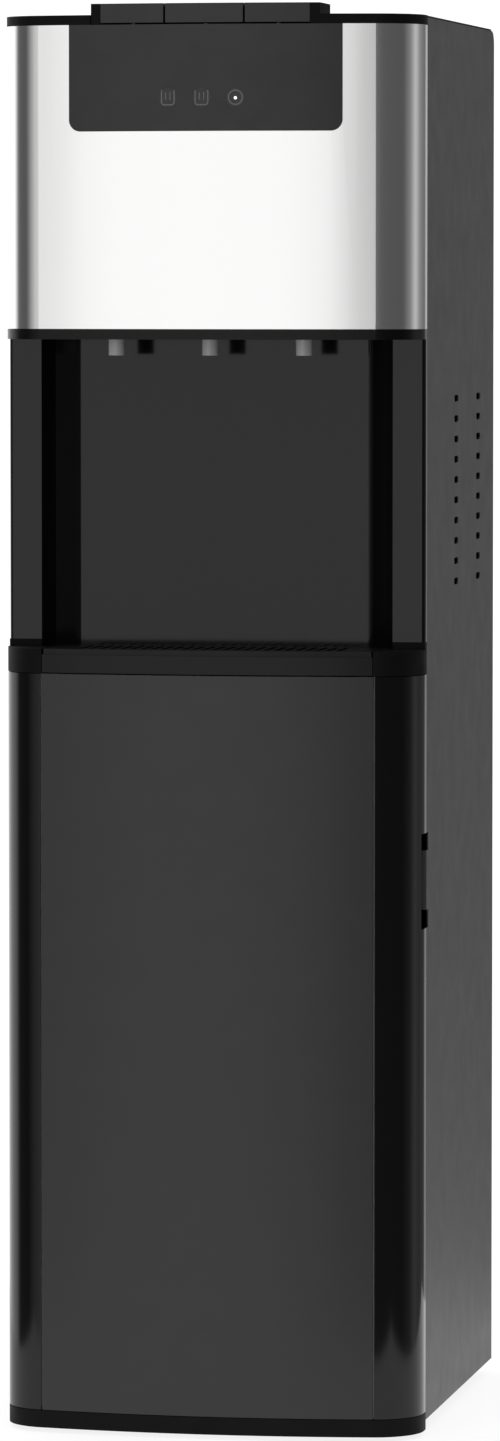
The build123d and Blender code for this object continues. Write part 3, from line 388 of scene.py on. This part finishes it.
def button_springs(material):
    """Wound wire in each button's spring space."""
    wire = 0.45 * MM
    for label in ("cold", "room", "hot"):
        node = f"{label}_button_spring"
        low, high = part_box(node)
        radius = (high.x - low.x) / 2 - wire
        x, y = (low.x + high.x) / 2, (low.y + high.y) / 2
        points = helix(x, y, low.z + wire, high.z - wire, radius, 6)
        spring = tube(f"{label}_wound_spring", points, wire, 8)
        finish_piece(spring, "cabinet", material)
        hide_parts(node)
        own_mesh(spring)


def evaporator(material):
    """One continuous copper coil wound round the cold tank."""
    low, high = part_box("evaporator_coil")
    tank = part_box("cold_tank")
    outer = (high.x - low.x) / 2
    x, y = (low.x + high.x) / 2, (low.y + high.y) / 2
    pipe = (outer - (tank[1].x - tank[0].x) / 2) / 2 * 0.9
    points = helix(x, y, low.z + pipe, high.z - pipe, outer - pipe, 9, 48)
    coil = tube("wound_evaporator", points, pipe, 12)
    finish_piece(coil, "cabinet", material)
    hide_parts("evaporator_coil")


def soft_probe_hose(material):
    """The soft hose over the probe, with a rippled wall."""
    low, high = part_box("probe_hose")
    x, y = (low.x + high.x) / 2, (low.y + high.y) / 2
    outer = (high.x - low.x) / 2
    wall = 1.5 * MM
    rows, sides = 60, 28
    mesh = bmesh.new()
    rings = []
    for reach in (outer, outer - wall):
        for row in range(rows + 1):
            z = low.z + (high.z - low.z) * row / rows
            ripple = 0.25 * MM * (cos(2 * pi * row / 4) - 1)
            ring = []
            for side in range(sides):
                turn = 2 * pi * side / sides
                out = reach + ripple
                ring.append(mesh.verts.new((x + out * cos(turn), y + out * sin(turn), z)))
            rings.append(ring)
    half = rows + 1
    pairs = [(rings[i], rings[i + 1], False) for i in range(rows)]
    pairs += [(rings[half + i], rings[half + i + 1], True) for i in range(rows)]
    pairs += [(rings[0], rings[half], True), (rings[rows], rings[half + rows], False)]
    for first, second, inward in pairs:
        for side in range(sides):
            after = (side + 1) % sides
            corners = [first[side], first[after], second[after], second[side]]
            face = mesh.faces.new(corners[::-1] if inward else corners)
            face.smooth = True
    data = bpy.data.meshes.new("soft_probe_hose")
    mesh.to_mesh(data)
    mesh.free()
    obj = bpy.data.objects.new("soft_probe_hose", data)
    scene.collection.objects.link(obj)
    finish_piece(obj, "cabinet", material)
    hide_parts("probe_hose")
    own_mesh(obj)


# ---------------------------------------------------------------- stage, light and camera
def stage():
    """A small pale floor that glows a little, so that it runs into the white behind it."""
    half = 0.55
    corners = [(-half, -half, 0), (half, -half, 0), (half, half, 0), (-half, half, 0)]
    floor = mesh_object("floor", corners, [(0, 1, 2, 3)])
    material, tree, shader = new_material("pale_floor", (0.22, 0.22, 0.22), 0, 0.9, 0.0)
    patches = tint(tree, object_noise(tree, 3, 2), (0.21, 0.21, 0.21), (0.23, 0.23, 0.23))
    tree.links.new(patches, shader.inputs["Base Color"])
    shader.inputs["Emission Color"].default_value = (1, 1, 1, 1)
    shader.inputs["Emission Strength"].default_value = 0.86
    floor.data.materials.append(material)


def studio_light():
    """A white studio: bright walls beside and behind, a soft box in front, darker gaps between."""
    world = bpy.data.worlds.new("studio")
    scene.world = world
    world.use_nodes = True
    tree = world.node_tree
    background = tree.nodes["Background"]
    place = tree.nodes.new("ShaderNodeTexCoord")
    split = tree.nodes.new("ShaderNodeSeparateXYZ")
    tree.links.new(place.outputs["Generated"], split.inputs["Vector"])
    turn = tree.nodes.new("ShaderNodeMath")
    turn.operation = "ARCTAN2"
    back = tree.nodes.new("ShaderNodeMath")
    back.operation = "MULTIPLY"
    back.inputs[1].default_value = -1
    tree.links.new(split.outputs["Y"], back.inputs[0])
    tree.links.new(split.outputs["X"], turn.inputs[0])
    tree.links.new(back.outputs[0], turn.inputs[1])
    share = tree.nodes.new("ShaderNodeMapRange")
    share.inputs["From Min"].default_value = -pi
    share.inputs["From Max"].default_value = pi
    tree.links.new(turn.outputs[0], share.inputs["Value"])
    ramp = tree.nodes.new("ShaderNodeValToRGB")
    # degrees from straight in front, and how bright the studio is there
    levels = [
        (-130, 1.25), (-103, 1.1), (-89, 0.1), (-62, 0.07), (-46, 0.38), (-31, 0.74),
        (-25, 1.0), (4, 1.0), (8, 0.5), (12, 0.09), (76, 0.08), (97, 0.22), (113, 0.52),
        (130, 0.24), (158, 0.13), (168, 0.26), (178, 1.0),
    ]
    brightest = max(level for _, level in levels)
    stops = ramp.color_ramp.elements
    while len(stops) < len(levels):
        stops.new(0.5)
    for stop, (angle, level) in zip(stops, levels):
        stop.position = (angle + 180) / 360
        stop.color = (*[level / brightest] * 3, 1)
    tree.links.new(share.outputs["Result"], ramp.inputs["Fac"])
    lift = tree.nodes.new("ShaderNodeMapRange")
    lift.inputs["From Min"].default_value = 0.55
    lift.inputs["From Max"].default_value = 0.80
    tree.links.new(split.outputs["Z"], lift.inputs["Value"])
    overhead = tree.nodes.new("ShaderNodeMix")
    overhead.data_type = "RGBA"
    overhead.inputs["B"].default_value = (*[1 / brightest] * 3, 1)
    tree.links.new(lift.outputs["Result"], overhead.inputs["Factor"])
    tree.links.new(ramp.outputs["Color"], overhead.inputs["A"])
    # what is seen straight behind the object is plain white
    path = tree.nodes.new("ShaderNodeLightPath")
    seen = tree.nodes.new("ShaderNodeMix")
    seen.data_type = "RGBA"
    seen.inputs["B"].default_value = (*[1 / brightest] * 3, 1)
    tree.links.new(path.outputs["Is Camera Ray"], seen.inputs["Factor"])
    tree.links.new(overhead.outputs["Result"], seen.inputs["A"])
    tree.links.new(seen.outputs["Result"], background.inputs["Color"])
    background.inputs["Strength"].default_value = 1.08 * brightest


def camera():
    turn, dip, distance, height = 0.1894, 0.0609, 5.3278, 0.8329
    data = bpy.data.cameras.new("camera")
    data.lens = 180.45
    data.sensor_width = 36
    data.shift_x = -0.00083
    data.shift_y = -0.0010
    obj = bpy.data.objects.new("camera", data)
    scene.collection.objects.link(obj)
    obj.location = (sin(turn) * distance, -cos(turn) * distance, height)
    obj.rotation_euler = (pi / 2 - dip, 0, turn)
    scene.camera = obj


camera()
finishes = make_materials()
dress_nodes(finishes)
indicator_icons()
button_springs(finishes["spring_steel"])
evaporator(finishes["copper"])
soft_probe_hose(finishes["silicone"])
stage()
studio_light()
scene.view_settings.view_transform = "Standard"
